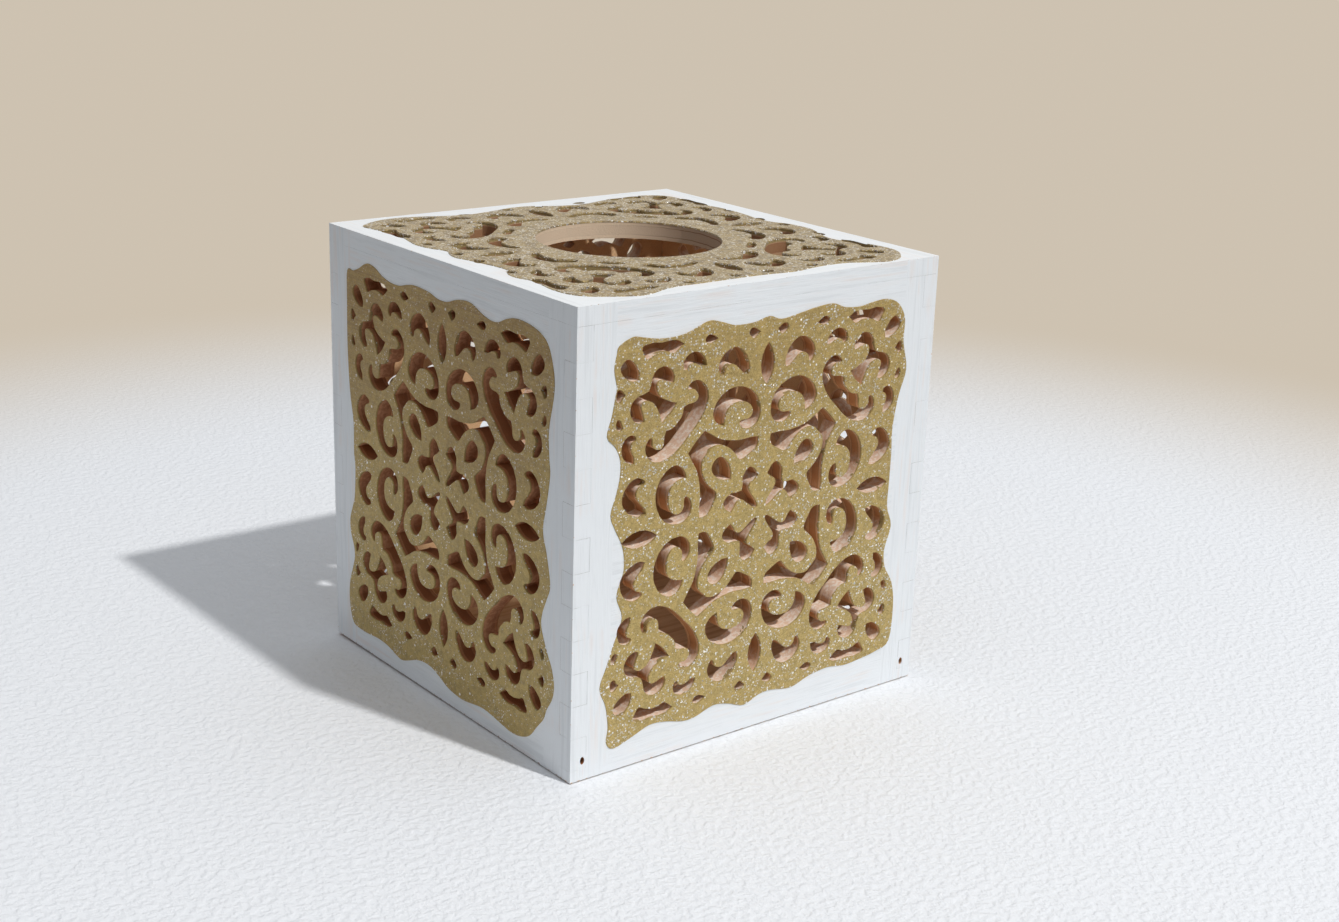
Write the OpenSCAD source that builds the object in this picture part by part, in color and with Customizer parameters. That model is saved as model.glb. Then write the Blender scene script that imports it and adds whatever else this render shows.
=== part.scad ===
// Pierced plywood card box: four finger-jointed walls, a top plate with a round mouth
// and a thin bottom that slides out under the back wall.
// Millimetres. Origin at the centre of the footprint, front wall at -Y, +Z up.

/* [Box] */
// Width and depth of the box over the walls
side = 135; // [130:1:150]
// Height from the table to the top face
height = 139; // [134:1:150]
// Thickness of the plywood in the walls and the top
ply_t = 5.5; // [5:0.1:6.2]

/* [Finger joints] */
// Height of one finger, counted down from the top plate
finger_h = 10; // [8:0.5:14]

/* [Top] */
// Diameter of the round mouth in the top
mouth_d = 58; // [50:1:60]

/* [Lacework] */
// Plain border between the side edge of a wall and its lacework
wall_border = 13.3; // [12:0.1:16]
// Plain border between the edge of the top and its lacework
top_border = 7.4; // [6.5:0.1:10]
// Largest turn between two points on a cut outline, in degrees
cut_turn = 22; // [20:1:36]
// Longest straight piece on a cut outline
cut_step = 3; // [3:0.5:6]

/* [Sliding bottom] */
// Thickness of the bottom panel
bottom_t = 2.5; // [2:0.1:3.2]
// Height of the underside of the groove above the table
groove_z = 4.7; // [3.5:0.1:6]
// Depth of the groove in the walls
groove_d = 2.6; // [2:0.1:3.5]
// Gap above and below the bottom panel in its groove
slide_gap = 0.15; // [0.1:0.05:0.4]
// Gap between the edges of the bottom panel and the groove floor
edge_gap = 0.3; // [0.1:0.05:0.6]
// Radius of the finger notch in the back edge of the bottom
notch_r = 9; // [7:0.5:12]

/* [Hidden] */
round_fn = 96;
cut_over = 1;
half = side / 2;
inner_half = half - ply_t;
wall_h = height - ply_t;
finger_n = ceil(wall_h / finger_h);
groove_h = bottom_t + 2 * slide_gap;
back_z0 = groove_z + groove_h;
bottom_half = inner_half + groove_d - edge_gap;
white_paint = [0.93, 0.93, 0.92];
bare_ply = [0.83, 0.70, 0.56];

// ---- lacework ----
// Each cut is a closed outline through a few knots [across, up], measured from the centre
// of the panel in its upper right quarter. A knot with a third value of 1 is a sharp corner.
// A cut that lies on the diagonal of the quarter is given as one half, from diagonal to
// diagonal, and folded over.
lace_w = 54.2; // reach of the drawn pattern across
lace_h = 56.2; // reach of the drawn pattern up, to the rows of bone slots

bone_slot = [[45.7, 55.6], [44.9, 56.2], [39, 56.2], [33.2, 56.2], [31.1, 54.9, 1], [32.7, 53.5],
    [34.5, 52.5], [36.6, 53.3], [39, 53.4], [41.5, 52.8], [43.6, 51.9], [45, 53.6]];
outer_moon = [[23.6, 55], [22.6, 56.2], [20.6, 56.1], [18.7, 54.8, 1], [21.3, 53.6], [22.7, 53.9]];
inner_moon = [[7.5, 55], [6.7, 56.2], [4.9, 56.1], [3.3, 54.9, 1], [4.2, 53.9], [5.3, 53], [6.6, 53.7]];
upper_bud = [[54.2, 43], [53.4, 44.8], [52.2, 44.4], [51, 42.9, 1], [51.9, 42.3], [52.7, 41], [54, 41.6]];
lower_bud = [[54.1, 34.6], [53.3, 36.4], [52.2, 35.4], [51.6, 33.6, 1], [52.6, 32.9]];
small_crescent = [[49, 31.2], [50.9, 30.3], [52, 28.1], [51.9, 26], [50.8, 24.2], [49.2, 23],
    [47.5, 22.7, 1], [47.5, 24.6], [48.3, 26], [48.7, 27.5], [48.3, 28.9], [47.1, 29.5], [47.3, 30.6]];
big_crescent = [[43.5, 16.7], [44.8, 18], [46.6, 18.4], [48.7, 17.6], [50.4, 15.9], [51.4, 13.6],
    [51.4, 11.5], [50.5, 9.7], [48.7, 8], [46.3, 6.9], [44.2, 6.7], [42.8, 7.2, 1], [43.2, 8.7],
    [44.4, 10.1], [45.7, 11.5], [46.5, 13], [46.3, 14.5], [45.4, 15.6], [44, 16]];
big_scroll = [[28.6, 15.4, 1], [29.2, 17.2], [30.6, 18.9], [32.4, 19.8], [34.3, 19.6], [36.2, 18.6],
    [38, 16.8], [39.3, 14.2], [39.7, 11.2], [39.2, 8.2], [38, 5.6], [36, 3.4], [33.4, 2.1], [31, 1.8],
    [28.9, 2.3], [27.2, 3.7], [26.4, 5.8], [26.7, 8], [27.7, 9.4], [29, 9.8], [29.4, 8.8], [29.4, 7],
    [30.2, 5.5], [31.8, 5], [33.4, 5.7], [34.6, 7.6], [35, 10], [34.7, 12.2], [33.5, 14], [31.6, 15]];
ring_scroll = [[30.8, 16.8], [31.4, 18.8], [33, 19.8], [34.8, 19.4], [36.4, 18.3], [38, 16.8],
    [39.3, 14.2], [39.7, 11.2], [39.2, 8.2], [38, 5.6], [36.3, 3.6], [34.9, 4.2], [35.4, 6.6],
    [35.9, 9], [35.8, 11.5], [35, 13.7], [33, 15.2]];
corner_drop = [[46.5, 46.5, 1], [46.3, 48.4], [47.4, 50.7], [49, 52.4], [50.8, 53], [52.1, 52.1]];
middle_drop = [[12, 12, 1], [12.1, 14.5], [13, 16.9], [14.5, 18.7], [16.3, 19.6], [18.7, 18.7]];
fleur = [[43, 43, 1], [42.4, 44.6], [42, 46.6], [40.7, 48.5], [39, 49.3], [37.3, 49.3], [35.7, 48.5],
    [34.5, 47.2], [34, 45.6], [34.4, 44.2, 1], [35.7, 44.5], [37, 45], [38.6, 45.5], [39.7, 45.2],
    [40.2, 44.2], [40, 42.7], [39.3, 41.3], [38, 40.2], [36.2, 39.3], [34.5, 38.6], [33, 38.2, 1],
    [35.2, 35.2]];
hook_scroll = [[28, 28], [25, 31], [23.2, 33.4], [22.1, 35.8], [21.6, 38], [21.8, 40], [22.9, 42],
    [24.5, 43.3], [26, 43.8], [27.5, 43.6], [28.8, 42.8], [29.3, 41.7], [28.4, 41.2], [27.2, 41.3],
    [26, 40.4], [25.4, 39.1], [25.9, 37.8], [27.3, 37.3], [29, 37.2], [30.6, 36.6, 1], [30.8, 34.9],
    [31.5, 33.4], [32.5, 32.5]];
spandrel = [[25.7, 25.7], [24.2, 27.1], [22.6, 28.4, 1], [20.3, 27.1], [17.8, 25.5], [15, 24.4],
    [12, 23.8], [9, 23.5], [5.5, 23.7], [2.3, 23.5, 1], [2.2, 21.8], [3, 20], [5, 18.8], [7.2, 17.6],
    [8.9, 17.4], [10.1, 18.7], [11.9, 20.7], [14.5, 22.4], [17.3, 23.2], [19.7, 22.8], [21.3, 21.3]];
ring_spandrel = [[26.3, 26.3], [24.4, 27.6], [22.4, 28.2], [21.9, 26.7], [23.1, 25.2], [24.3, 24.3]];
flower = [[7.9, 7.9, 1], [7.6, 10], [7.8, 11.8, 1], [6.9, 13.4], [4.9, 14.7], [3, 13.6], [1.7, 11.6, 1],
    [3.2, 10.3], [4.6, 9.5], [5.1, 8.3], [4.5, 6.8], [3.3, 5.2], [2.2, 3.7], [1.7, 1.7]];
lens_in = 38.6;   // inner tip of the lens on each centre line
lens_out = 51.4;  // outer tip of the lens
lens_w = 5.3;     // width of the lens
lens_k = 6;       // knots along each side of a lens

// a lens on the across axis: two equal arcs between its tips
function lens() =
    let (c = (lens_in + lens_out) / 2, l = (lens_out - lens_in) / 2, w = lens_w / 2,
         r = (l * l + w * w) / (2 * w), a = asin(l / r))
    [for (s = [1, -1]) for (i = [0:lens_k - 1])
        let (t = s * (a - 2 * a * i / lens_k))
        [c + r * sin(t), s * (r * cos(t) - r + w)]];

function swapped(k) = [k[1], k[0], k[2]];
function swap_all(loop) = [for (k = loop) swapped(k)];
function folded(half_loop) =
    concat(half_loop, [for (i = [len(half_loop) - 2:-1:1]) swapped(half_loop[i])]);
function point(k) = [k[0], k[1]];
function unit(v) = v / max(norm(v), 0.001);
function turn(u, v) = acos(max(-1, min(1, u * v)));

// direction of the outline where it leaves or reaches knot b, with neighbours a and c
function heading(a, b, c) = unit(unit(point(c) - point(b)) * norm(point(b) - point(a))
    + unit(point(b) - point(a)) * norm(point(c) - point(b)));
function blend(p, q, u, v, s) =
    let (s2 = s * s, s3 = s2 * s)
    p * (2 * s3 - 3 * s2 + 1) + u * (s3 - 2 * s2 + s) + q * (3 * s2 - 2 * s3) + v * (s3 - s2);

// a smooth closed outline through the knots, with its sharp corners kept
function outline(knots, size) =
    let (n = len(knots))
    [for (i = [0:n - 1])
        let (a = knots[(i + n - 1) % n], b = knots[i], c = knots[(i + 1) % n], d = knots[(i + 2) % n],
             p = point(b), q = point(c), chord = q - p, reach = norm(chord),
             u = b[2] == 1 ? unit(chord) : heading(a, b, c),
             v = c[2] == 1 ? unit(chord) : heading(b, c, d),
             bend = turn(u, unit(chord)) + turn(unit(chord), v),
             steps = max(1, ceil(bend / cut_turn), ceil(reach * size / cut_step)))
        for (k = [0:steps - 1]) size * blend(p, q, u * reach, v * reach, k / steps)];

// one quarter mirrored into all four
function four_ways(loops) =
    [for (sx = [-1, 1]) for (sy = [-1, 1]) for (l = loops) [for (p = l) [sx * p[0], sy * p[1]]]];
function centre_lenses(size) =
    let (l = [for (p = lens()) size * p])
    [for (s = [-1, 1]) each [[for (p = l) [s * p[0], p[1]]], [for (p = l) [p[1], s * p[0]]]]];
function quarter(knot_loops, size) = [for (k = knot_loops) outline(k, size)];

outer_row = [bone_slot, outer_moon, inner_moon];
frame_cuts = [folded(corner_drop), folded(fleur), folded(hook_scroll),
    small_crescent, swap_all(small_crescent), big_crescent, swap_all(big_crescent)];
wall_cuts = concat(outer_row, [upper_bud, lower_bud], frame_cuts, [big_scroll, swap_all(big_scroll),
    folded(spandrel), folded(middle_drop), folded(flower)]);
top_cuts = concat(outer_row, [for (l = outer_row) swap_all(l)], frame_cuts,
    [ring_scroll, swap_all(ring_scroll), folded(ring_spandrel)]);

function lacework(knot_loops, size) =
    concat(four_ways(quarter(knot_loops, size)), centre_lenses(size));
wall_size = min((half - wall_border) / lace_w, (height / 2 - wall_border) / lace_h);
top_size = (half - top_border) / lace_h;

// ---- panels ----
// a flat sheet: its outline less the cuts
module sheet(edge, cuts) {
    difference() {
        polygon(edge);
        for (cut = cuts) polygon(cut);
    }
}

// one jointed edge of a wall, from the top down to z_end: even fingers end at x_even
function jointed(x_even, x_odd, z_end) =
    [for (k = [0:finger_n - 1])
        let (top = wall_h - k * finger_h, x = k % 2 == 0 ? x_even : x_odd)
        if (top > z_end) each [[x, top], [x, max(z_end, top - finger_h)]]];
function left_of(edge) = [for (i = [len(edge) - 1:-1:0]) [-edge[i][0], edge[i][1]]];
function raised(loops, z) = [for (l = loops) [for (p = l) [p[0], p[1] + z]]];

wall_lace = raised(lacework(wall_cuts, wall_size), height / 2);

// front and back walls: notched at the first finger, so the side walls show there
module cross_wall(z_end) {
    edge = jointed(inner_half, half, z_end);
    translate([0, ply_t / 2, 0]) rotate([90, 0, 0])
        linear_extrude(ply_t) sheet(concat(edge, left_of(edge)), wall_lace);
}

// side walls, drawn with the back edge to the right: solid to the end under the back wall
module side_wall() {
    front_edge = jointed(half, inner_half, 0);
    back_edge = concat(jointed(half, inner_half, back_z0), [[half, back_z0], [half, 0]]);
    translate([-ply_t / 2, 0, 0]) rotate([90, 0, 90])
        linear_extrude(ply_t) sheet(concat(back_edge, left_of(front_edge)), wall_lace);
}

// the space the groove takes out of a wall whose inner face is at y = 0, wall towards -y
module groove() {
    translate([-half - cut_over, -groove_d, groove_z])
        cube([side + 2 * cut_over, groove_d + cut_over, groove_h]);
}

module front_wall() {
    color(white_paint) difference() {
        translate([0, -half + ply_t / 2, 0]) cross_wall(0);
        translate([0, -inner_half, 0]) groove();
    }
}

module back_wall() {
    color(white_paint) translate([0, half - ply_t / 2, 0]) cross_wall(back_z0);
}

module left_wall() {
    color(white_paint) difference() {
        translate([-half + ply_t / 2, 0, 0]) side_wall();
        translate([-inner_half, 0, 0]) rotate([0, 0, -90]) groove();
    }
}

module right_wall() {
    color(white_paint) difference() {
        translate([half - ply_t / 2, 0, 0]) side_wall();
        translate([inner_half, 0, 0]) rotate([0, 0, 90]) groove();
    }
}

module top_panel() {
    plate = [[-half, -half], [half, -half], [half, half], [-half, half]];
    color(white_paint) translate([0, 0, wall_h]) difference() {
        linear_extrude(ply_t) sheet(plate, lacework(top_cuts, top_size));
        translate([0, 0, -cut_over]) cylinder(h = ply_t + 2 * cut_over, d = mouth_d, $fn = round_fn);
    }
}

module bottom_panel() {
    color(bare_ply) difference() {
        translate([-bottom_half, -bottom_half, groove_z + slide_gap])
            cube([2 * bottom_half, bottom_half + half, bottom_t]);
        translate([0, half, groove_z - cut_over])
            cylinder(h = bottom_t + 2 * cut_over + 2 * slide_gap, r = notch_r, $fn = round_fn);
    }
}

front_wall();
back_wall();
left_wall();
right_wall();
top_panel();
bottom_panel();
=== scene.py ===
"""Dresses the pierced plywood card box.

The box keeps its own panels and gets eased edges, brushed white paint outside and bare ply in
the cuts and inside. Each outer face carries a raised film of gold glitter paint over its
lacework, with the wavy edge that a brush leaves. Two beads of white paint narrow the groove
ends low on the front.
"""
import logging
import math
from dataclasses import dataclass
from enum import Enum

import bmesh
import bpy
from mathutils import Matrix, Quaternion, Vector


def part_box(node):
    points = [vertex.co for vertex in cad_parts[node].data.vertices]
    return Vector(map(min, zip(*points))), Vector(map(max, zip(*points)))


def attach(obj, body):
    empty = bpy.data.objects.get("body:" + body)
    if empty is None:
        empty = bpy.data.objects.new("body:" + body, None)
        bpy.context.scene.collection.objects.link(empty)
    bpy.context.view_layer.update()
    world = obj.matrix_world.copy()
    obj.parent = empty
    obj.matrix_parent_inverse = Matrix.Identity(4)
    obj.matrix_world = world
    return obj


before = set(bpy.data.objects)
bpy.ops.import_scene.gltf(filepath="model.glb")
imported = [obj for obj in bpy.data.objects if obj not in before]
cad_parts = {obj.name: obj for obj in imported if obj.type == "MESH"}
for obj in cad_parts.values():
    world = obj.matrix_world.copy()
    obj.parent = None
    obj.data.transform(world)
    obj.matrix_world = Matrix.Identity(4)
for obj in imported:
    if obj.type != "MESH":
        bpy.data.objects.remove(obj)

logging.basicConfig(level=logging.INFO, format="%(levelname)s %(message)s")
log = logging.getLogger("card_box")

MM = 0.001
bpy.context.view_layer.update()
Triple = tuple[float, float, float]
Colour = Triple
Point = tuple[float, float]
Socket = bpy.types.NodeSocket
UP = Vector((0, 0, 1))
MERGE_GAP = 0.001 * MM
CREASE_ANGLE = math.radians(40)
# Outlines of the gold films, in millimetres right and down from a face's upper left corner.
FRONT_EDGE: tuple[Point, ...] = (
    (14, 12.5), (18.5, 10.5), (22, 11), (27, 12), (32, 12.3), (37, 11.8), (41, 10.5), (45.5, 9.2),
    (50, 10.2), (55, 11.7), (62, 11.7), (67.5, 10.6), (72, 12), (78, 11.3), (85, 10.2), (92, 9.8),
    (97, 11.5), (103, 12), (108, 11.3), (114, 11), (119, 13), (122, 18), (122, 25), (124, 34),
    (121.5, 42), (119.8, 52), (120, 60), (119.9, 70), (119.8, 78), (122, 84.5), (119.8, 92),
    (120.5, 98), (124, 104), (125.5, 112), (124.5, 124), (119, 126.5), (112, 127.5), (105, 128),
    (98, 127), (90, 128), (83, 130), (75, 128.8), (70, 129), (64, 131), (58, 129), (52, 128), (45, 130),
    (40, 130), (34, 128.5), (28, 128), (22, 130), (15, 132), (12.5, 129.5), (13, 125), (12, 118),
    (9.8, 112), (12, 106), (14.2, 100), (17.1, 92), (15, 85), (17.3, 78), (16.8, 71), (14, 65),
    (12.3, 60.5), (14, 55), (15.2, 50), (15.2, 45), (13.5, 41), (10.5, 37.5), (12, 32), (13, 27),
    (13.5, 24), (12.5, 19), (13.2, 15),
)
LEFT_EDGE: tuple[Point, ...] = (
    (11.5, 13), (15, 12.5), (19, 11), (22, 9.3), (25, 8.6), (29, 9.3), (33, 11), (38, 12), (43, 12),
    (47, 11), (52, 10.2), (60, 10.6), (65, 11.7), (70, 11.6), (75, 10), (80, 9.2), (84, 9.5), (88, 11),
    (93, 12.2), (97, 12), (101, 10.3), (105, 9.2), (109, 9), (114, 9.5), (119, 11), (122, 13.5),
    (124, 18), (125, 23), (124.5, 28), (122.5, 37), (122.8, 45), (123.3, 50), (121.5, 60), (120.3, 65),
    (120.5, 69), (122, 73), (124, 82), (122.5, 86.5), (120.5, 91), (119.7, 95), (120.8, 98.5),
    (123, 103), (125.3, 107), (126.5, 111.5), (125.8, 116), (123, 120.5), (121.5, 124), (118, 128),
    (114.5, 132), (110, 134), (105, 134.6), (100, 134), (90, 132.8), (80, 134.2), (75, 134.2),
    (70, 133.5), (66, 132), (61, 130.3), (56, 130), (51, 131), (46, 133), (42, 134.2), (38, 133.5),
    (33, 132.3), (27, 132), (20, 132.6), (14, 132.5), (11, 131.5), (9.2, 127), (8.8, 122), (9.5, 117),
    (11.5, 112), (12.8, 108), (12.2, 104), (10.5, 100), (10.3, 95.5), (12, 91), (13.5, 87), (14.3, 77),
    (13.6, 72), (13.7, 62), (11.8, 52), (10.8, 38), (11, 22),
)
TOP_EDGE: tuple[Point, ...] = (
    (6, 11), (6.5, 16), (8.5, 27), (6.5, 38), (5.5, 43), (6, 49), (8, 54), (8.5, 57), (7, 60),
    (5.8, 65), (7, 70), (9, 80), (9.5, 86), (9, 89), (6.5, 92), (6, 97), (7.5, 102), (7, 108), (6, 114),
    (6.5, 121), (9, 125.5), (14, 129), (19, 131.5), (24, 132.8), (29, 131.5), (34, 129.5), (40, 128.6),
    (47, 128.8), (62, 128.8), (70, 129), (76, 129.8), (82, 130.2), (89, 128.8), (96, 128.2),
    (103, 128.8), (109, 131.5), (115, 133.5), (121, 132), (125.5, 128), (128.5, 123), (129, 117),
    (127.5, 110), (124.5, 104), (123.5, 98), (125.5, 92), (128.4, 85), (129, 79), (128, 73),
    (125.5, 68), (125, 62), (126, 56), (127, 48), (127, 40), (125.5, 32), (127, 25), (126, 18),
    (124.5, 12), (118, 8.2), (110, 8.3), (100, 9.5), (90, 12), (80, 10.6), (72, 6.8), (64, 6.3),
    (56, 8.3), (46, 10), (38, 8.5), (30, 5.5), (22, 4), (15, 5), (9, 8),
)


class Face(Enum):
    """An outer face of the box: its panel, where it faces, and which way is across and up on it."""

    FRONT = ("front_wall", (0, -1, 0), (1, 0, 0), (0, 0, 1))
    BACK = ("back_wall", (0, 1, 0), (-1, 0, 0), (0, 0, 1))
    LEFT = ("left_wall", (-1, 0, 0), (0, -1, 0), (0, 0, 1))
    RIGHT = ("right_wall", (1, 0, 0), (0, 1, 0), (0, 0, 1))
    TOP = ("top_panel", (0, 0, 1), (1, 0, 0), (0, 1, 0))

    def __init__(self, panel: str, outward: Triple, across: Triple, up: Triple) -> None:
        """Keeps the panel's name and the directions as vectors."""
        self.panel = panel
        self.outward, self.across, self.up = Vector(outward), Vector(across), Vector(up)


@dataclass(frozen=True)
class BoxSizes:
    """The sizes of the box, in metres, read from its panels."""

    half: float
    height: float
    ply: float

    @classmethod
    def from_frame(cls) -> "BoxSizes":
        """Reads the sizes from the top panel, which covers the walls.

        Returns:
            The sizes of the box.
        """
        low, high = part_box(Face.TOP.panel)
        return cls(half=high.x, height=high.z, ply=high.z - low.z)

    def level(self, face: Face) -> float:
        """How far out an outer face lies along the way it looks."""
        return self.height if face is Face.TOP else self.half


# ---- node sheets ----
class Wiring:
    """Adds nodes to one node tree and joins their sockets."""

    def __init__(self, tree: bpy.types.NodeTree) -> None:
        """Keeps the tree that the nodes go into."""
        self.tree = tree

    def node(self, kind: str, **settings: object) -> bpy.types.Node:
        """Adds a node.

        Args:
            kind: Blender's name for the kind of node.
            **settings: properties of the node and their values.

        Returns:
            The new node.
        """
        node = self.tree.nodes.new(kind)
        for name, value in settings.items():
            setattr(node, name, value)
        return node

    def fed(self, kind: str, settings: dict[str, object] | None = None, **values: object
            ) -> bpy.types.Node:
        """Adds a node with the given settings and feeds its sockets by their names."""
        node = self.node(kind, **(settings or {}))
        for name, value in values.items():
            self.feed(node.inputs[name], value)
        return node

    def feed(self, socket: Socket, value: object) -> None:
        """Joins a socket to an output, or sets it to a plain value."""
        if isinstance(value, Socket):
            self.tree.links.new(value, socket)
        else:
            socket.default_value = value

    def filled(self, node: bpy.types.Node, *values: object) -> bpy.types.Node:
        """Feeds a node's sockets in their order and gives the node back."""
        for socket, value in zip(node.inputs, values):
            self.feed(socket, value)
        return node

    def math(self, operation: str, *values: object, clamp: bool = False) -> Socket:
        """Works out one number from others.

        Args:
            operation: Blender's name for the sum to do.
            *values: numbers or outputs that go in.
            clamp: whether the result is kept between 0 and 1.

        Returns:
            The output of the sum.
        """
        node = self.node("ShaderNodeMath", operation=operation, use_clamp=clamp)
        return self.filled(node, *values).outputs[0]

    def times(self, first: object, *others: object) -> Socket:
        """The product of some numbers."""
        for other in others:
            first = self.math("MULTIPLY", first, other)
        return first

    def line(self, value: object, slope: object, start: object, clamp: bool = False) -> Socket:
        """A number that grows from a start by the value times a slope."""
        return self.math("MULTIPLY_ADD", value, slope, start, clamp=clamp)

    def rest(self, share: object) -> Socket:
        """What a share leaves of the whole."""
        return self.math("SUBTRACT", 1.0, share)

    def vector(self, operation: str, *values: object, result: str = "Vector") -> Socket:
        """Works out one vector, or one number, from vectors.

        Args:
            operation: Blender's name for the sum to do.
            *values: vectors or outputs that go in.
            result: the name of the output to take.

        Returns:
            The output of the sum.
        """
        node = self.node("ShaderNodeVectorMath", operation=operation)
        return self.filled(node, *values).outputs[result]

    def parts(self, whole: object, kind: str = "XYZ") -> list[Socket]:
        """The three numbers of a vector, or those of a colour if the kind is Color."""
        return list(self.filled(self.node(f"ShaderNodeSeparate{kind}"), whole).outputs)

    def facing(self) -> Socket:
        """The direction that the surface looks in."""
        return self.node("ShaderNodeNewGeometry").outputs["Normal"]

    def scaled(self, vector: Socket, factor: object) -> Socket:
        """A vector made longer or shorter by one factor."""
        node = self.node("ShaderNodeVectorMath", operation="SCALE")
        self.feed(node.inputs[0], vector)
        self.feed(node.inputs["Scale"], factor)
        return node.outputs[0]

    def step(self, value: object, low: object, high: object) -> Socket:
        """A soft step from 0 to 1 as the value goes from low to high."""
        places = {"Value": value, "From Min": low, "From Max": high}
        smooth = {"interpolation_type": "SMOOTHSTEP"}
        return self.fed("ShaderNodeMapRange", smooth, **places).outputs[0]

    def mix(self, factor: object, first: object, second: object) -> Socket:
        """A colour between two colours."""
        node = self.node("ShaderNodeMix", data_type="RGBA")
        self.feed(node.inputs["Factor"], factor)
        for name, value in (("A", first), ("B", second)):
            socket = [s for s in node.inputs if s.name == name and s.type == "RGBA"][0]
            self.feed(socket, (*value, 1.0) if isinstance(value, tuple) else value)
        return [s for s in node.outputs if s.type == "RGBA"][0]

    def noise(self, vector: object, scale: float, detail: float = 3.0) -> Socket:
        """Smooth noise between 0 and 1, with its lumps 1 / scale apart."""
        return self.fed("ShaderNodeTexNoise", Vector=vector, Scale=scale, Detail=detail).outputs[0]

    def cells(self, vector: object, scale: float) -> bpy.types.Node:
        """Random cells 1 / scale apart, measured to the nearest point."""
        return self.fed("ShaderNodeTexVoronoi", Vector=vector, Scale=scale)

    def seen(self) -> Socket:
        """Whether a ray shows the background: straight, in a gloss or through something clear."""
        rays = self.node("ShaderNodeLightPath")
        straight = self.math("MAXIMUM", rays.outputs["Is Camera Ray"], rays.outputs["Is Glossy Ray"])
        return self.math("MAXIMUM", straight, rays.outputs["Is Transmission Ray"])

    def group(self, tree: bpy.types.NodeTree, **values: object) -> bpy.types.Node:
        """Places a shared effect.

        Args:
            tree: the effect's node group.
            **values: what goes into its sockets.

        Returns:
            The group node.
        """
        return self.fed("ShaderNodeGroup", {"node_tree": tree}, **values)


class Effect:
    """A shared effect: a node group with named inputs and outputs."""

    def __init__(self, name: str, inputs: dict[str, str], outputs: dict[str, str]) -> None:
        """Makes the group and its sockets.

        Args:
            name: the name of the effect.
            inputs: the kind of each input socket by its name.
            outputs: the kind of each output socket by its name.
        """
        self.tree = bpy.data.node_groups.new(name, "ShaderNodeTree")
        for in_out, sockets in (("INPUT", inputs), ("OUTPUT", outputs)):
            for socket, kind in sockets.items():
                self.tree.interface.new_socket(socket, in_out=in_out, socket_type=f"NodeSocket{kind}")
        self.wires = Wiring(self.tree)
        self.given = self.wires.node("NodeGroupInput").outputs
        self.result = self.wires.node("NodeGroupOutput").inputs

    def put(self, name: str, value: object) -> None:
        """Sends a value to one of the effect's outputs."""
        self.wires.feed(self.result[name], value)


@dataclass(frozen=True)
class GoldTones:
    """The colours of the glitter paint."""

    ground_low: Colour = (0.432, 0.316, 0.097)
    ground_high: Colour = (0.563, 0.405, 0.131)
    thin: Colour = (0.190, 0.142, 0.105)
    flake_low: Colour = (0.190, 0.150, 0.055)
    flake_high: Colour = (0.600, 0.470, 0.210)
    silver: Colour = (0.600, 0.570, 0.490)
    fleck: Colour = (0.970, 0.965, 0.930)


@dataclass(frozen=True)
class Flecks:
    """One sort of fleck: its places per millimetre, the share of them that hold a fleck with
    what a patch adds, and its least radius in millimetres with what chance adds."""

    density: float
    share: Point
    reach: Point


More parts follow.
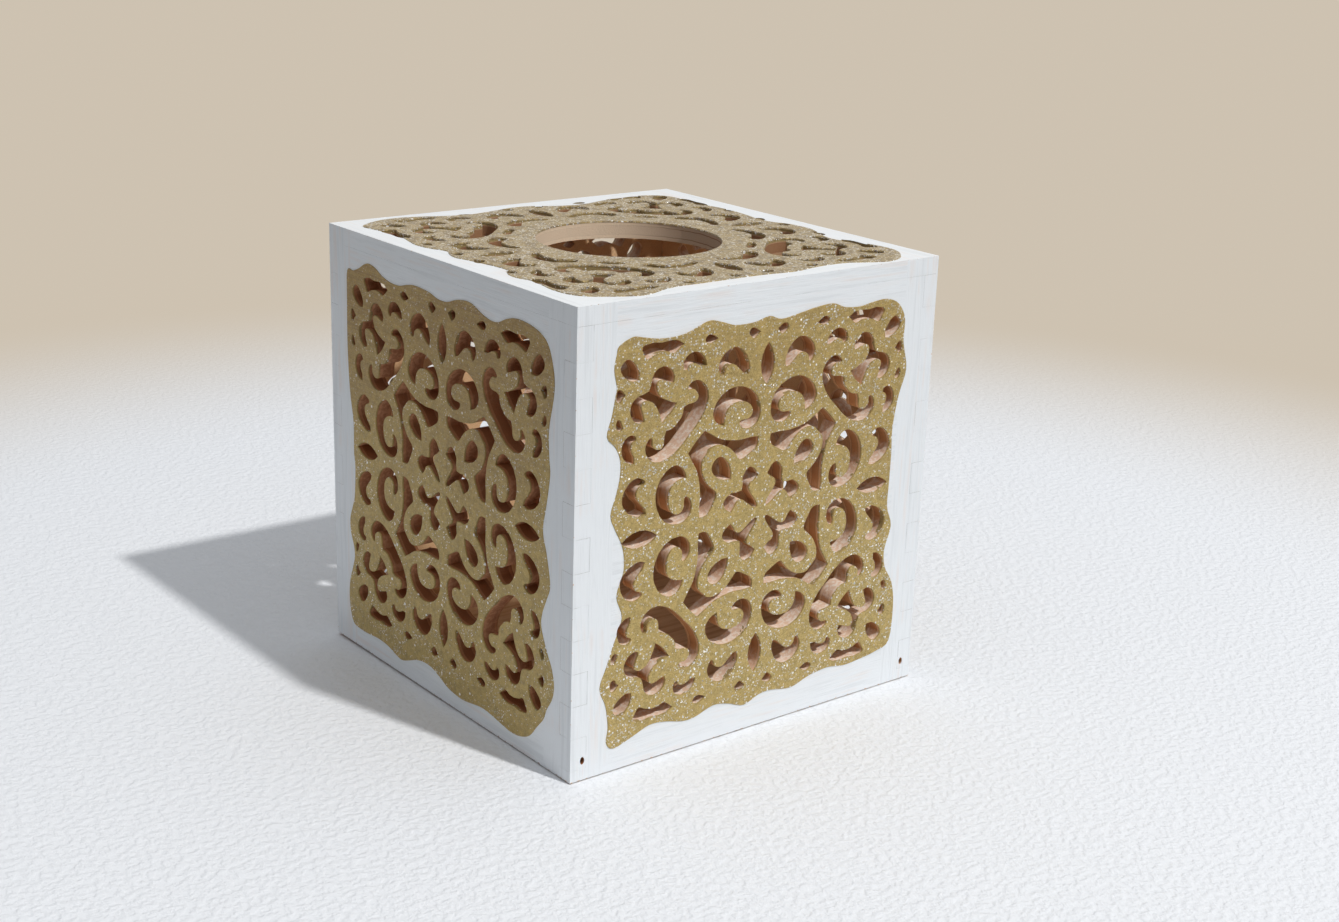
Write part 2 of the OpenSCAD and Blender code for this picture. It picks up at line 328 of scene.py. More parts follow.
class Effects:
    """The effects that more than one finish uses, each made once."""

    # How far a face is turned to an axis, how far the strokes on the sides and the top are moved
    # from the front's, how dense they are lengthwise, and their output, density and detail.
    turned = (0.6, 0.8)
    face_shift = (7.3, 3.1)
    stretch = 0.05
    strokes = (("Tone", 0.55, 5.0), ("Height", 2.2, 4.0))
    # The layers of a cut edge, in shares of the ply from its middle.
    core_rim = (0.30, 0.22)
    glue_line = 0.26
    scorched_rim = (0.36, 0.52)
    flecks = (Flecks(0.85, (0.05, 0.34), (0.19, 0.28)), Flecks(1.70, (0.08, 0.20), (0.14, 0.11)),
              Flecks(0.25, (0.22, 0.45), (0.36, 0.16)))
    gold = GoldTones()

    def __init__(self, sizes: BoxSizes) -> None:
        """Makes the shared effects for a box of the given sizes."""
        self.sizes = sizes
        self.shell = self._shell()
        self.brush = self._brush()
        self.cut_edge = self._cut_edge()
        self.glitter = self._glitter()

    def _shell(self) -> bpy.types.NodeTree:
        """How far a point of the box lies under its outer faces, and from its edges.

        Returns:
            A group that takes a position in millimetres and gives two distances in millimetres.
        """
        effect = Effect("box_shell", {"Position": "Vector"}, {"Under": "Float", "Edge": "Float"})
        wires = effect.wires
        x, y, z = wires.parts(effect.given["Position"])
        half, height = self.sizes.half / MM, self.sizes.height / MM
        side = wires.math("SUBTRACT", half, wires.math("ABSOLUTE", x))
        front = wires.math("SUBTRACT", half, wires.math("ABSOLUTE", y))
        top = wires.math("SUBTRACT", height, z)
        low_end = wires.math("MINIMUM", top, z)
        upright = wires.math("MAXIMUM", side, front)
        level = wires.math("MAXIMUM", wires.math("MINIMUM", side, front), low_end)
        effect.put("Under", wires.math("MINIMUM", wires.math("MINIMUM", side, front), top))
        effect.put("Edge", wires.math("MINIMUM", upright, level))
        return effect.tree

    def _brush(self) -> bpy.types.NodeTree:
        """Long streaks that a brush leaves in paint, up the stiles and across the rails.

        They follow the outer face that a point lies on, so they run on over the finger joints.

        Returns:
            A group that takes a position and the stiles' width in millimetres and gives tone and
            height.
        """
        effect = Effect("brush_strokes", {"Position": "Vector", "Stile": "Float"},
                        {"Tone": "Float", "Height": "Float"})
        wires = effect.wires
        x, y, z = wires.parts(effect.given["Position"])
        facing = wires.parts(wires.facing())
        sideways = wires.step(wires.math("ABSOLUTE", facing[0]), *self.turned)
        upward = wires.step(wires.math("ABSOLUTE", facing[2]), *self.turned)
        across = wires.line(wires.math("SUBTRACT", y, x), sideways, x)
        up = wires.line(wires.math("SUBTRACT", y, z), upward, z)
        half = self.sizes.half / MM
        far_out = wires.math("ADD", wires.math("ABSOLUTE", across), effect.given["Stile"])
        on_stile = wires.step(far_out, half - 0.5, half)
        side_shift, top_shift = self.face_shift
        own = wires.line(sideways, side_shift, wires.times(upward, top_shift))
        for name, density, detail in self.strokes:
            drawn = []
            for along, square in ((across, up), (up, across)):
                place = (wires.times(along, density * self.stretch), wires.times(square, density), own)
                streak = wires.filled(wires.node("ShaderNodeCombineXYZ"), *place)
                drawn.append(wires.noise(streak.outputs[0], 1.0, detail))
            level, upright = drawn
            span = wires.math("SUBTRACT", upright, level)
            effect.put(name, wires.line(span, on_stile, level))
        return effect.tree

    def _cut_edge(self) -> bpy.types.NodeTree:
        """The layers, scorch and saw-fine streaks on a cut edge of the plywood.

        Returns:
            A group that takes the depth under the face and the position, in millimetres.
        """
        effect = Effect("cut_edge", {"Depth": "Float", "Position": "Vector"},
                        {"Core": "Float", "Glue": "Float", "Scorch": "Float", "Grain": "Float"})
        wires, place = effect.wires, effect.given["Position"]
        ply = self.sizes.ply / MM
        sway = wires.line(wires.noise(place, 0.25, 2.0), 0.5, -0.25)
        depth = wires.math("ADD", effect.given["Depth"], sway)
        from_middle = wires.math("ABSOLUTE", wires.math("SUBTRACT", depth, ply / 2))
        effect.put("Core", wires.step(from_middle, *(ply * share for share in self.core_rim)))
        line = wires.math("ABSOLUTE", wires.math("SUBTRACT", from_middle, ply * self.glue_line))
        effect.put("Glue", wires.step(line, 0.22, 0.05))
        burn = wires.step(wires.noise(place, 0.35, 4.0), 0.3, 0.75)
        near_rim = wires.step(from_middle, *(ply * share for share in self.scorched_rim))
        effect.put("Scorch", wires.times(near_rim, burn))
        effect.put("Grain", wires.noise(place, 2.4, 5.0))
        return effect.tree

    def _glitter(self) -> bpy.types.NodeTree:
        """Gold glitter in a clear paint: a mottled ground, fine flakes and bright flecks.

        Returns:
            A group that takes a position in millimetres, the share of silver flakes, how much
            closer together the flecks are, and how far the dark ply shows through.
        """
        effect = Effect("gold_glitter", {"Position": "Vector", "Silver": "Float", "Dense": "Float",
                                         "Thin": "Float"},
                        {"Colour": "Color", "Fleck": "Float", "Height": "Float", "Normal": "Vector"})
        wires, place, tones = effect.wires, effect.given["Position"], self.gold
        ground = wires.mix(wires.step(wires.noise(place, 0.5, 4.0), 0.35, 0.65),
                           tones.ground_low, tones.ground_high)
        ground = wires.mix(effect.given["Thin"], ground, tones.thin)
        flakes = wires.cells(place, 3.1)
        chance = wires.parts(flakes.outputs["Color"], "Color")
        mottled = wires.mix(0.30, ground, wires.mix(chance[0], tones.flake_low, tones.flake_high))
        patches = wires.step(wires.noise(place, 0.11, 3.0), 0.42, 0.70)
        patches = wires.math("ADD", patches, effect.given["Dense"])
        silver = wires.math("LESS_THAN", chance[1], wires.line(patches, 0.04, effect.given["Silver"]))
        greyed = wires.mix(silver, mottled, tones.silver)
        masks, leans = zip(*(self._scattered(wires, place, sort, patches) for sort in self.flecks))
        fleck = masks[0]
        for mask in masks[1:]:
            fleck = wires.math("MAXIMUM", fleck, mask)
        effect.put("Colour", wires.mix(fleck, greyed, tones.fleck))
        effect.put("Fleck", fleck)
        effect.put("Height", wires.math("ADD", wires.times(chance[2], 0.5), fleck))
        flake_lean = wires.vector("SUBTRACT", flakes.outputs["Color"], (0.5, 0.5, 0.5))
        tilt = wires.scaled(flake_lean, wires.line(fleck, -0.4, 0.5))
        for lean in leans:
            tilt = wires.vector("ADD", tilt, lean)
        effect.put("Normal", wires.vector("NORMALIZE", wires.vector("ADD", wires.facing(), tilt)))
        return effect.tree

    @staticmethod
    def _scattered(wires: Wiring, place: Socket, sort: Flecks,
                   patches: Socket) -> tuple[Socket, Socket]:
        """Scattered round flecks of one sort, closer together in patches.

        Args:
            wires: the wiring of the effect.
            place: the position, in millimetres.
            sort: the sort of fleck.
            patches: a mask of the patches.

        Returns:
            A mask that is 1 on the flecks, and the way that each one leans.
        """
        cells = wires.cells(place, sort.density)
        pick = wires.parts(cells.outputs["Color"], "Color")
        chosen = wires.math("LESS_THAN", pick[0], wires.line(patches, sort.share[1], sort.share[0]))
        radius = wires.line(pick[1], sort.reach[1] * sort.density, sort.reach[0] * sort.density)
        fleck = wires.times(chosen, wires.math("LESS_THAN", cells.outputs["Distance"], radius))
        lean = wires.vector("SUBTRACT", cells.outputs["Color"], (0.5, 0.5, 0.5))
        return fleck, wires.scaled(lean, wires.times(fleck, 1.2))


# ---- finishes ----
class Finish:
    """A material under construction: its node tree and its Principled shader."""

    def __init__(self, name: str) -> None:
        """Makes the material with an empty tree, a shader and the position in millimetres."""
        self.material = bpy.data.materials.new(name)
        self.material.use_nodes = True
        self.material.node_tree.nodes.clear()
        self.wires = Wiring(self.material.node_tree)
        self.shader = self.wires.node("ShaderNodeBsdfPrincipled")
        self.surface = self.wires.node("ShaderNodeOutputMaterial").inputs["Surface"]
        self.wires.feed(self.surface, self.shader.outputs[0])
        coordinates = self.wires.node("ShaderNodeTexCoord")
        self.position = self.wires.scaled(coordinates.outputs["Object"], 1 / MM)

    def bump(self, height: object, strength: float, distance: float, normal: object = None) -> None:
        """Gives the shader a relief.

        Args:
            height: the output that holds the height, from 0 to 1.
            strength: how much of the relief shows.
            distance: how high the relief stands, in metres.
            normal: a normal to start from, if it isn't the plain one.
        """
        node = self.wires.fed("ShaderNodeBump", Height=height, Strength=strength, Distance=distance)
        if normal is not None:
            self.wires.feed(node.inputs["Normal"], normal)
        self.wires.feed(self.shader.inputs["Normal"], node.outputs[0])


@dataclass(frozen=True)
class PaintedPly:
    """White brushed paint on the outside of the box, bare plywood in the cuts and inside.

    The stiles' width, the depth of the paint and of the gold, and the mouth's radius are in
    millimetres. The faces of the cuts that look the painted light's way get a paler tone, as painted
    light. One side of the mouth's wall is darkened as painted shade.
    """

    paint: Colour = (0.810, 0.842, 0.872)
    streak_paint: Colour = (0.748, 0.778, 0.806)
    thin_paint: Colour = (0.800, 0.750, 0.730)
    speck: Colour = (0.330, 0.300, 0.285)
    crack: Colour = (0.200, 0.175, 0.165)
    face_veneer: Colour = (0.680, 0.415, 0.225)
    core_veneer: Colour = (0.490, 0.225, 0.092)
    glue_line: Colour = (0.220, 0.085, 0.038)
    # Scorch on the cut rims; the same tone also darkens one side of the mouth's wall as painted shade.
    scorch_and_shade: Colour = (0.160, 0.058, 0.025)
    # Painted light: the paler tone that cut faces turned to the light get, and its paler blotches.
    painted_light_tone: Colour = (0.880, 0.690, 0.540)
    painted_light_blotch_tone: Colour = (0.900, 0.830, 0.760)
    sanded: Colour = (0.930, 0.790, 0.605)
    inner_face: Colour = (0.800, 0.540, 0.310)
    inner_grain: Colour = (0.620, 0.360, 0.170)
    # How strong the painted light on the cut faces is, and the way it comes from.
    painted_light: float = 0.75
    painted_light_way: Triple = (0.0, 0.0, 1.0)
    stile: float = 13.0
    paint_skin: float = 0.12
    gold_drip: float = 1.5
    gold_run: float = 0.0
    mouth: float = 29.0
    mouth_sanded: float = 0.64
    # The side of the mouth's wall that is darkened as painted shade.
    painted_shade_side: Triple = (0.78, -0.62, 0.0)

    def make(self, face: Face, effects: Effects) -> bpy.types.Material:
        """Makes the finish of one panel.

        Args:
            face: the panel's outer face, which sets the way of the grain.
            effects: the shared effects.

        Returns:
            The material.
        """
        finish = Finish(f"painted_ply_{face.panel}")
        wires, shader = finish.wires, finish.shader.inputs
        shell = wires.group(effects.shell, Position=finish.position)
        strokes = wires.group(effects.brush, Position=finish.position, Stile=self.stile)
        level = effects.sizes.level(face) / MM
        depth = wires.math("SUBTRACT", level, self._along(finish, face.outward))
        edge = wires.group(effects.cut_edge, Depth=depth, Position=finish.position)
        wood = self._wood(finish, edge, depth, effects.sizes.ply / MM)
        gold_depth = self._gold_depth(finish)
        if face is Face.TOP:
            beyond = self._beyond_mouth(finish)
            gold_depth = wires.times(gold_depth, beyond)
            # The mouth's wall is sanded paler; its side turned from the lamp is darkened as painted shade.
            wood = wires.mix(wires.line(beyond, -self.mouth_sanded, self.mouth_sanded), wood, self.sanded)
            wood = wires.mix(self._mouth_painted_shade(finish, edge, beyond), wood, self.scorch_and_shade)
        gold = wires.group(effects.glitter, Position=finish.position, Silver=0.02, Dense=0.0, Thin=0.50)
        gilded = wires.step(wires.math("SUBTRACT", depth, gold_depth), 0.30, 0.20)
        wood = wires.mix(gilded, wood, gold.outputs["Colour"])

        painted = wires.step(shell.outputs["Under"], self.paint_skin + 0.03, self.paint_skin - 0.03)
        wires.feed(shader["Base Color"], wires.mix(painted, wood, self._coat(finish, shell, strokes)))
        wires.feed(shader["Roughness"], wires.line(painted, -0.32, 0.82))
        stroke_height = wires.times(strokes.outputs["Height"], painted)
        cut_height = wires.times(edge.outputs["Grain"], wires.rest(painted))
        finish.bump(wires.math("ADD", stroke_height, cut_height), 0.6, 0.2 * MM)
        shader["Specular IOR Level"].default_value = 0.4
        return finish.material

    def _coat(self, finish: Finish, shell: bpy.types.Node, strokes: bpy.types.Node) -> Socket:
        """The white paint, with its strokes, thin places, specks, worn edges and cracks.

        Args:
            finish: the finish that is being made.
            shell: the placed effect of the box's shell.
            strokes: the placed effect of the brush.

        Returns:
            The colour.
        """
        wires, place, tone = finish.wires, finish.position, strokes.outputs["Tone"]
        blotch = wires.noise(place, 0.06, 3.0)
        thin = wires.times(wires.step(tone, 0.47, 0.68), wires.step(blotch, 0.40, 0.60))
        hairs = wires.times(wires.step(strokes.outputs["Height"], 0.42, 0.30), 0.7)
        streaks = wires.math("MAXIMUM", wires.step(tone, 0.50, 0.30), hairs)
        paint = wires.mix(streaks, self.paint, self.streak_paint)
        paint = wires.mix(wires.times(thin, 0.6), paint, self.thin_paint)
        paint = wires.mix(self._specks(finish), paint, self.speck)
        foot = wires.step(self._along(finish, UP), 5.0, 0.0)
        ragged = wires.line(foot, 0.09, wires.noise(place, 0.8, 4.0))
        worn = wires.step(wires.line(shell.outputs["Edge"], -0.45, ragged), 0.57, 0.63)
        paint = wires.mix(wires.times(worn, 0.8), paint, self.face_veneer)
        return wires.mix(self._cracks(finish, shell), paint, self.crack)

    def _wood(self, finish: Finish, edge: bpy.types.Node, depth: Socket, ply: float) -> Socket:
        """The bare plywood, with its layers, grain and scorch, its cut faces made paler by painted light
        where they look its way, and its inner face.

        Args:
            finish: the finish that is being made.
            edge: the placed effect of the cut edge.
            depth: the depth under the outer face, in millimetres.
            ply: the thickness of the plywood, in millimetres.

        Returns:
            The colour.
        """
        wires, grain = finish.wires, edge.outputs["Grain"]
        wood = wires.mix(edge.outputs["Core"], self.face_veneer, self.core_veneer)
        wood = wires.mix(wires.times(edge.outputs["Glue"], 0.6), wood, self.glue_line)
        wood = wires.mix(wires.line(grain, 0.9, -0.25, clamp=True), wood, self.core_veneer)
        # Painted light: cut faces that look the light's way are made paler, with paler blotches on them.
        lit_facing = self._painted_light_facing(finish)
        wood = wires.mix(lit_facing, wood, self.painted_light_tone)
        light_blotches = wires.step(wires.noise(finish.position, 0.9, 6.0), 0.44, 0.62)
        wood = wires.mix(wires.times(light_blotches, lit_facing), wood, self.painted_light_blotch_tone)
        wood = wires.mix(wires.times(edge.outputs["Scorch"], 0.7), wood, self.scorch_and_shade)
        inside = wires.step(depth, ply - 0.25, ply - 0.05)
        fibre = wires.times(wires.step(grain, 0.35, 0.75), 0.5)
        return wires.mix(inside, wood, wires.mix(fibre, self.inner_face, self.inner_grain))

    def _gold_depth(self, finish: Finish) -> Socket:
        """How deep the gold has run into the cuts, in millimetres."""
        runs = finish.wires.step(finish.wires.noise(finish.position, 0.13, 3.0), 0.58, 0.66)
        return finish.wires.line(runs, self.gold_drip, self.gold_run)

    @staticmethod
    def _along(finish: Finish, direction: Vector | Triple) -> Socket:
        """The distance along a direction, in millimetres."""
        return finish.wires.vector("DOT_PRODUCT", finish.position, direction, result="Value")

    def _painted_light_facing(self, finish: Finish) -> Socket:
        """How far a cut face looks the way of the painted light, which makes it paler."""
        wires = finish.wires
        turned = wires.vector("DOT_PRODUCT", wires.facing(), self.painted_light_way, result="Value")
        return wires.times(wires.step(turned, -0.1, 0.9), self.painted_light)

    def _beyond_mouth(self, finish: Finish) -> Socket:
        """Whether a point of the top lies outside the round mouth's own edge."""
        wires = finish.wires
        flat = wires.vector("MULTIPLY", finish.position, (1.0, 1.0, 0.0))
        radius = wires.vector("LENGTH", flat, result="Value")
        return wires.step(radius, self.mouth + 0.5, self.mouth + 1.5)

    def _mouth_painted_shade(self, finish: Finish, edge: bpy.types.Node, beyond: Socket) -> Socket:
        """Painted shade on the mouth's wall: darkest on the side that looks away from the key lamp, and
        deeper on the glue lines.

        Args:
            finish: the finish that is being made.
            edge: the placed effect of the cut edge.
            beyond: the mask of what lies outside the mouth's wall.

        Returns:
            A mask of the painted shade.
        """
        wires = finish.wires
        aside = wires.step(self._along(finish, self.painted_shade_side), -self.mouth / 3, self.mouth)
        lines = wires.line(edge.outputs["Glue"], 0.42, 0.46)
        return wires.times(lines, wires.line(aside, 0.90, 0.10), wires.rest(beyond))

    @staticmethod
    def _cracks(finish: Finish, shell: bpy.types.Node) -> Socket:
        """Where the paint has opened in the seams of the finger joints, away from the corners."""
        wires = finish.wires
        sunk = wires.step(shell.outputs["Under"], 0.01, 0.05)
        inward = wires.step(shell.outputs["Edge"], 0.3, 0.9)
        opened = wires.step(wires.noise(finish.position, 0.07, 2.0), 0.48, 0.58)
        return wires.times(sunk, inward, opened, 0.85)

    @staticmethod
    def _specks(finish: Finish) -> Socket:
        """Scattered dark specks and short hairline marks in the paint."""
        wires = finish.wires
        cells = wires.cells(wires.vector("MULTIPLY", finish.position, (1.0, 1.0, 0.35)), 0.35)
        pick = wires.parts(cells.outputs["Color"], "Color")
        reach = wires.line(pick[1], 0.045, 0.02)
        spot = wires.step(cells.outputs["Distance"], reach, wires.times(reach, 0.5))
        return wires.times(wires.math("LESS_THAN", pick[0], 0.06), spot, 0.7)


@dataclass(frozen=True)
class BarePanel:
    """The thin bare sheet that closes the box below."""

    face_veneer: Colour = (0.660, 0.450, 0.270)
    dark_grain: Colour = (0.430, 0.250, 0.130)

    def make(self) -> bpy.types.Material:
        """Makes the finish.

        Returns:
            The material.
        """
        finish = Finish("bare_ply_sheet")
        wires, shader, place = finish.wires, finish.shader.inputs, finish.position
        rings = wires.noise(wires.vector("MULTIPLY", place, (0.06, 1.1, 1.1)), 0.5, 5.0)
        fibre = wires.noise(wires.vector("MULTIPLY", place, (0.15, 4.0, 4.0)), 1.0, 3.0)
        mark = wires.times(wires.step(rings, 0.42, 0.66), 0.7)
        colour = wires.mix(mark, self.face_veneer, self.dark_grain)
        colour = wires.mix(wires.times(fibre, 0.35), colour, self.dark_grain)
        wires.feed(shader["Base Color"], colour)
        shader["Roughness"].default_value = 0.75
        finish.bump(fibre, 0.3, 0.1 * MM)
        return finish.material


@dataclass(frozen=True)
class GlitterPaint:
    """The gold glitter film. Its streaks set in between two heights, in millimetres."""

    silver: float = 0.03
    dense: float = 0.0
    thin: float = 0.0
    streaks: float = 0.36
    soft: float = 0.35
    coat: float = 0.25
    streak_tone: Colour = (0.235, 0.145, 0.062)
    mottle: float = 0.06
    mottle_tone: Colour = (0.150, 0.108, 0.066)
    upper: Point = (95.0, 185.0)

    def make(self, name: str, effects: Effects) -> bpy.types.Material:
        """Makes the finish.

        Args:
            name: the material's name.
            effects: the shared effects.

        Returns:
            The material.
        """
        finish = Finish(name)
        wires, shader = finish.wires, finish.shader.inputs
        paint = wires.group(effects.glitter, Position=finish.position, Silver=self.silver,
                            Dense=self.dense, Thin=self.thin)
        fleck = paint.outputs["Fleck"]
        streaks = wires.times(self._streaks(finish, effects), self.streaks)
        colour = wires.mix(streaks, paint.outputs["Colour"], self.streak_tone)
        pits = wires.step(wires.noise(finish.position, 0.55, 6.0), 0.48, 0.60)
        pits = wires.times(pits, wires.rest(fleck), self.mottle)
        wires.feed(shader["Base Color"], wires.mix(pits, colour, self.mottle_tone))
        wires.feed(shader["Roughness"], wires.line(fleck, -0.12, 0.52))
        wires.feed(shader["Metallic"], wires.line(fleck, -0.1, 0.3))
        shader["Coat Weight"].default_value = self.coat
        shader["Coat Roughness"].default_value = 0.28
        finish.bump(paint.outputs["Height"], 0.5, 0.12 * MM, paint.outputs["Normal"])
        return finish.material

    def _streaks(self, finish: Finish, effects: Effects) -> Socket:
        """The brush's streaks, which show most in the upper part of a face.

        Args:
            finish: the finish that is being made.
            effects: the shared effects.

        Returns:
            A mask of the streaks.
        """
        wires = finish.wires
        strokes = wires.group(effects.brush, Position=finish.position, Stile=0.0)
        drawn = wires.line(wires.step(strokes.outputs["Tone"], 0.56, 0.40), 0.35,
                           wires.step(strokes.outputs["Height"], 0.60, 0.38))
        drawn = wires.line(drawn, 1.0 - self.soft, 0.62 * self.soft)
        height = wires.parts(finish.position)[2]
        ragged = wires.line(wires.noise(finish.position, 0.03, 2.0), 90.0, height)
        return wires.times(drawn, wires.line(wires.step(ragged, *self.upper), 0.85, 0.15))


# ---- the box ----
@dataclass
class EasedPanels:
    """The panels of the box, with eased edges and their finishes."""

    effects: Effects
    edge_round: float = 0.09 * MM
    flat_angle: float = math.radians(1)
    eased_angle: float = math.radians(50)

    def dress(self) -> None:
        """Gives each panel its material and its eased edges."""
        # The left face stands in shade: its darker, redder veneers are a painted-shade copy of the wood,
        # and its paler cut faces turned to the front and down are painted bounce light from the floor.
        finishes = {Face.FRONT: PaintedPly(), Face.BACK: PaintedPly(painted_light=0.45),
                    Face.LEFT: PaintedPly(face_veneer=(0.430, 0.195, 0.085),
                                          core_veneer=(0.280, 0.102, 0.036), painted_light=0.30,
                                          painted_light_tone=(0.840, 0.440, 0.250), painted_light_blotch_tone=(0.860, 0.500, 0.310),
                                          painted_light_way=(0.0, -0.70, -0.71), gold_drip=0.6),
                    Face.RIGHT: PaintedPly(painted_light=0.45),
                    Face.TOP: PaintedPly(face_veneer=(0.470, 0.295, 0.170),
                                         core_veneer=(0.310, 0.160, 0.078), painted_light=0.38, gold_run=0.6)}
        for face, finish in finishes.items():
            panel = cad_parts[face.panel]
            self._finish(panel, finish.make(face, self.effects))
            log.info("dressed %s", panel.name)
        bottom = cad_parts["bottom_panel"]
        self._finish(bottom, BarePanel().make())
        log.info("dressed %s", bottom.name)

    def _finish(self, panel: bpy.types.Object, material: bpy.types.Material) -> None:
        """Puts a material on a panel and eases its edges with modifiers.

        Args:
            panel: the panel.
            material: its finish.
        """
        panel.data.materials.clear()
        panel.data.materials.append(material)
        weld = panel.modifiers.new("weld", "WELD")
        weld.merge_threshold = MERGE_GAP
        flat = panel.modifiers.new("flat", "DECIMATE")
        flat.decimate_type = "DISSOLVE"
        flat.angle_limit = self.flat_angle
        ease = panel.modifiers.new("ease", "BEVEL")
        ease.width = self.edge_round
        ease.segments = 2
        ease.limit_method = "ANGLE"
        ease.angle_limit = self.eased_angle
        ease.use_clamp_overlap = False
        shade_by_angle(panel)
        panel.modifiers.new("even", "WEIGHTED_NORMAL").keep_sharp = True


def shade_by_angle(piece: bpy.types.Object) -> None:
    """Shades a piece smooth, apart from its edges sharper than the crease angle."""
    name = "shade_by_angle"
    tree = bpy.data.node_groups.get(name)
    if tree is None:
        tree = bpy.data.node_groups.new(name, "GeometryNodeTree")
        for in_out in ("INPUT", "OUTPUT"):
            tree.interface.new_socket("Geometry", in_out=in_out, socket_type="NodeSocketGeometry")
        wires = Wiring(tree)
        given, result = wires.node("NodeGroupInput"), wires.node("NodeGroupOutput")
        faces = wires.node("GeometryNodeSetShadeSmooth", domain="FACE")
        edges = wires.node("GeometryNodeSetShadeSmooth", domain="EDGE")
        turn = wires.node("GeometryNodeInputMeshEdgeAngle")
        gentle = wires.node("FunctionNodeCompare", data_type="FLOAT", operation="LESS_EQUAL")
        wires.feed(gentle.inputs[0], turn.outputs["Unsigned Angle"])
        gentle.inputs[1].default_value = CREASE_ANGLE
        wires.feed(faces.inputs["Geometry"], given.outputs[0])
        wires.feed(edges.inputs["Geometry"], faces.outputs[0])
        wires.feed(edges.inputs["Shade Smooth"], gentle.outputs[0])
        wires.feed(result.inputs[0], edges.outputs[0])
    piece.modifiers.new("shade", "NODES").node_group = tree


